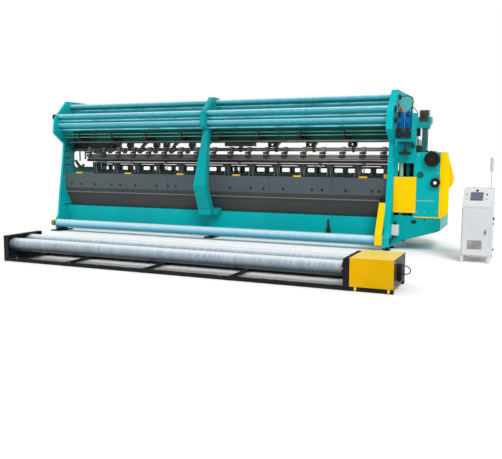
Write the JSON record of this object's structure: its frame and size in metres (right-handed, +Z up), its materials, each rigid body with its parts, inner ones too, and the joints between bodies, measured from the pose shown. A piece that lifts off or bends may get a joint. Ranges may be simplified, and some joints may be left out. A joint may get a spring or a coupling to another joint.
{
  "type": "industrial knitting machine",
  "caption": "Wide raschel net knitting machine with teal frame and yellow covers, a floor winder in front and a white control cabinet",
  "frame": {"origin": "on the floor under the middle of the centre foot's front half, midway between the end stands", "axes": "+X along the machine towards the gearbox, +Y from the operator's side into the machine, +Z up"},
  "size_m": [8.3995, 5.245, 2.6],
  "materials": {
    "teal_paint": "semi-gloss enamel on castings and sheet",
    "yellow_paint": "semi-gloss enamel on covers and guards",
    "grey_paint": "satin enamel on the sump",
    "black_paint": "satin enamel on the winder's frame",
    "white_paint": "powder coat on the cabinet",
    "blue_paint": "enamel on the motors",
    "roller_wrap": "grip tape wound round the rollers",
    "dark_casting": "oiled castings in the knitting zone",
    "bright_steel": "ground shafts, rods and bars",
    "black_plastic": "wheels, handles and switches",
    "red_plastic": "stop buttons and the lamp's lens",
    "green_plastic": "start button",
    "lamp_plastic": "lamp and its pole",
    "screen_glass": "front of the control screen"
  },
  "bodies": {
    "machine": {"left_stand": "teal_paint", "right_stand": "teal_paint", "machine_feet": "black_paint", "base_beam": "teal_paint", "top_beam": "teal_paint", "sump_panel": "grey_paint", "sump_caps": "yellow_paint", "centre_strut": "teal_paint", "flange_bearings": "dark_casting", "trick_plate": "dark_casting", "shaft_hangers": "dark_casting", "tension_brackets": "dark_casting", "yarn_rods": "bright_steel", "yarn_reed": "bright_steel", "cam_boxes": "dark_casting", "head_stock": "teal_paint", "stock_bracket": "teal_paint", "front_panel": "yellow_paint", "gearbox": "teal_paint", "gearbox_side_cover": "yellow_paint", "belt_guard": "yellow_paint", "main_motor": "blue_paint", "feed_motors": "blue_paint", "pattern_drive": "teal_paint", "chain_guard": "yellow_paint", "junction_box": "white_paint", "winder_left_plate": "black_paint", "winder_right_plate": "black_paint", "winder_rails": "black_paint", "winder_cross_members": "black_paint", "winder_drive_box": "yellow_paint", "winder_motor": "black_paint", "winder_motor_lead": "black_plastic", "cabinet_body": "white_paint", "screen": "screen_glass", "signal_lamp": "lamp_plastic"},
    "feed_roller_upper": {"feed_roller_1": "roller_wrap"},
    "feed_roller_middle": {"feed_roller_2": "roller_wrap"},
    "feed_roller_lower": {"feed_roller_3": "roller_wrap"},
    "fabric_roll": {"fabric_roller": "roller_wrap"},
    "take_down": {"take_down_roller": "roller_wrap"},
    "swing": {"swing_shaft": "dark_casting"},
    "front_bar": {"guide_bar_front": "bright_steel"},
    "rear_bar": {"guide_bar_rear": "bright_steel"},
    "needles": {"needle_bar": "bright_steel"},
    "drive_shaft": {"main_shaft": "bright_steel"},
    "adjuster": {"adjusting_wheel": "black_plastic"},
    "turning_wheel": {"hand_wheel": "dark_casting"},
    "pulley": {"feed_pulley": "dark_casting"},
    "winder_front": {"winder_roller_1": "roller_wrap"},
    "winder_rear": {"winder_roller_2": "roller_wrap"},
    "door": {"cabinet_door": "white_paint"},
    "handle": {"door_handle": "black_plastic"},
    "start": {"start_button": "green_plastic"},
    "jog": {"jog_button": "black_plastic"},
    "stop": {"stop_button": "red_plastic"},
    "reset": {"reset_button": "black_plastic"},
    "selector": {"selector_knob": "black_plastic"},
    "emergency": {"emergency_stop": "red_plastic"},
    "switch": {"main_switch": "black_plastic"}
  },
  "joints": [
    {"name": "feed_roller_1_turn", "type": "hinge", "parent": "machine", "child": "feed_roller_upper", "pos_m": [0, 0.25, 2.49], "axis": [1, 0, 0], "continuous": true},
    {"name": "feed_roller_2_turn", "type": "hinge", "parent": "machine", "child": "feed_roller_middle", "pos_m": [0, -0.127, 2.274], "axis": [1, 0, 0], "continuous": true},
    {"name": "feed_roller_3_turn", "type": "hinge", "parent": "machine", "child": "feed_roller_lower", "pos_m": [0, -0.115, 2.098], "axis": [1, 0, 0], "continuous": true},
    {"name": "fabric_roller_turn", "type": "hinge", "parent": "machine", "child": "fabric_roll", "pos_m": [0, -0.25, 0.16], "axis": [1, 0, 0], "continuous": true},
    {"name": "take_down_turn", "type": "hinge", "parent": "machine", "child": "take_down", "pos_m": [0, 0.56, 0.7], "axis": [1, 0, 0], "continuous": true},
    {"name": "winder_roller_1_turn", "type": "hinge", "parent": "machine", "child": "winder_front", "pos_m": [0, -3.428, 0.225], "axis": [1, 0, 0], "continuous": true},
    {"name": "winder_roller_2_turn", "type": "hinge", "parent": "machine", "child": "winder_rear", "pos_m": [0, -3.11, 0.249], "axis": [1, 0, 0], "continuous": true},
    {"name": "main_shaft_turn", "type": "hinge", "parent": "machine", "child": "drive_shaft", "pos_m": [0, 0.365, 0.95], "axis": [1, 0, 0], "continuous": true},
    {"name": "hand_wheel_turn", "type": "hinge", "parent": "machine", "child": "turning_wheel", "pos_m": [3.99, -0.09, 1.475], "axis": [0, 1, 0], "continuous": true},
    {"name": "feed_pulley_turn", "type": "hinge", "parent": "machine", "child": "pulley", "pos_m": [4.05, -0.09, 1.105], "axis": [0, 1, 0], "continuous": true},
    {"name": "swing_shaft_turn", "type": "hinge", "parent": "machine", "child": "swing", "pos_m": [0, 0.25, 1.634], "axis": [1, 0, 0], "range_deg": [-6, 6]},
    {"name": "front_guide_bar_shog", "type": "slide", "parent": "swing", "child": "front_bar", "axis": [1, 0, 0], "range_m": [-0.03, 0.03]},
    {"name": "rear_guide_bar_shog", "type": "slide", "parent": "swing", "child": "rear_bar", "axis": [1, 0, 0], "range_m": [-0.03, 0.03]},
    {"name": "needle_bar_lift", "type": "slide", "parent": "machine", "child": "needles", "axis": [0, 0, 1], "range_m": [0, 0.016]},
    {"name": "adjusting_wheel_turn", "type": "hinge", "parent": "machine", "child": "adjuster", "pos_m": [3.575, -0.165, 1.6], "axis": [0, 0, 1], "continuous": true},
    {"name": "door_swing", "type": "hinge", "parent": "machine", "child": "door", "pos_m": [4.554, -0.9345, 0.4], "axis": [0, 0, 1], "range_deg": [-110, 0]},
    {"name": "door_handle_turn", "type": "hinge", "parent": "door", "child": "handle", "pos_m": [4.874, -0.95, 0.446], "axis": [0, 1, 0], "range_deg": [0, 90]},
    {"name": "selector_knob_turn", "type": "hinge", "parent": "machine", "child": "selector", "pos_m": [4.732, -0.7129, 1.0271], "axis": [0, -0.7071, 0.7071], "range_deg": [0, 90]},
    {"name": "main_switch_turn", "type": "hinge", "parent": "machine", "child": "switch", "pos_m": [4.97, -0.64, 0.622], "axis": [1, 0, 0], "range_deg": [0, 90]},
    {"name": "start_press", "type": "slide", "parent": "machine", "child": "start", "axis": [0, 0.7071, -0.7071], "range_m": [0, 0.004], "stiffness_N_per_m": 300, "springref_m": -0.003},
    {"name": "jog_press", "type": "slide", "parent": "machine", "child": "jog", "axis": [0, 0.7071, -0.7071], "range_m": [0, 0.004], "stiffness_N_per_m": 300, "springref_m": -0.003},
    {"name": "stop_press", "type": "slide", "parent": "machine", "child": "stop", "axis": [0, 0.7071, -0.7071], "range_m": [0, 0.004], "stiffness_N_per_m": 300, "springref_m": -0.003},
    {"name": "reset_press", "type": "slide", "parent": "machine", "child": "reset", "axis": [0, 0.7071, -0.7071], "range_m": [0, 0.004], "stiffness_N_per_m": 300, "springref_m": -0.003},
    {"name": "emergency_stop_press", "type": "slide", "parent": "machine", "child": "emergency", "axis": [-1, 0, 0], "range_m": [0, 0.004]}
  ],
  "couplings": [
    {"joint": "feed_roller_2_turn", "follows": "feed_roller_1_turn", "ratio": 1},
    {"joint": "feed_roller_3_turn", "follows": "feed_roller_1_turn", "ratio": 1},
    {"joint": "take_down_turn", "follows": "fabric_roller_turn", "ratio": 1.2581},
    {"joint": "winder_roller_2_turn", "follows": "winder_roller_1_turn", "ratio": 1},
    {"joint": "hand_wheel_turn", "follows": "main_shaft_turn", "ratio": 1},
    {"joint": "feed_pulley_turn", "follows": "main_shaft_turn", "ratio": 1}
  ]
}
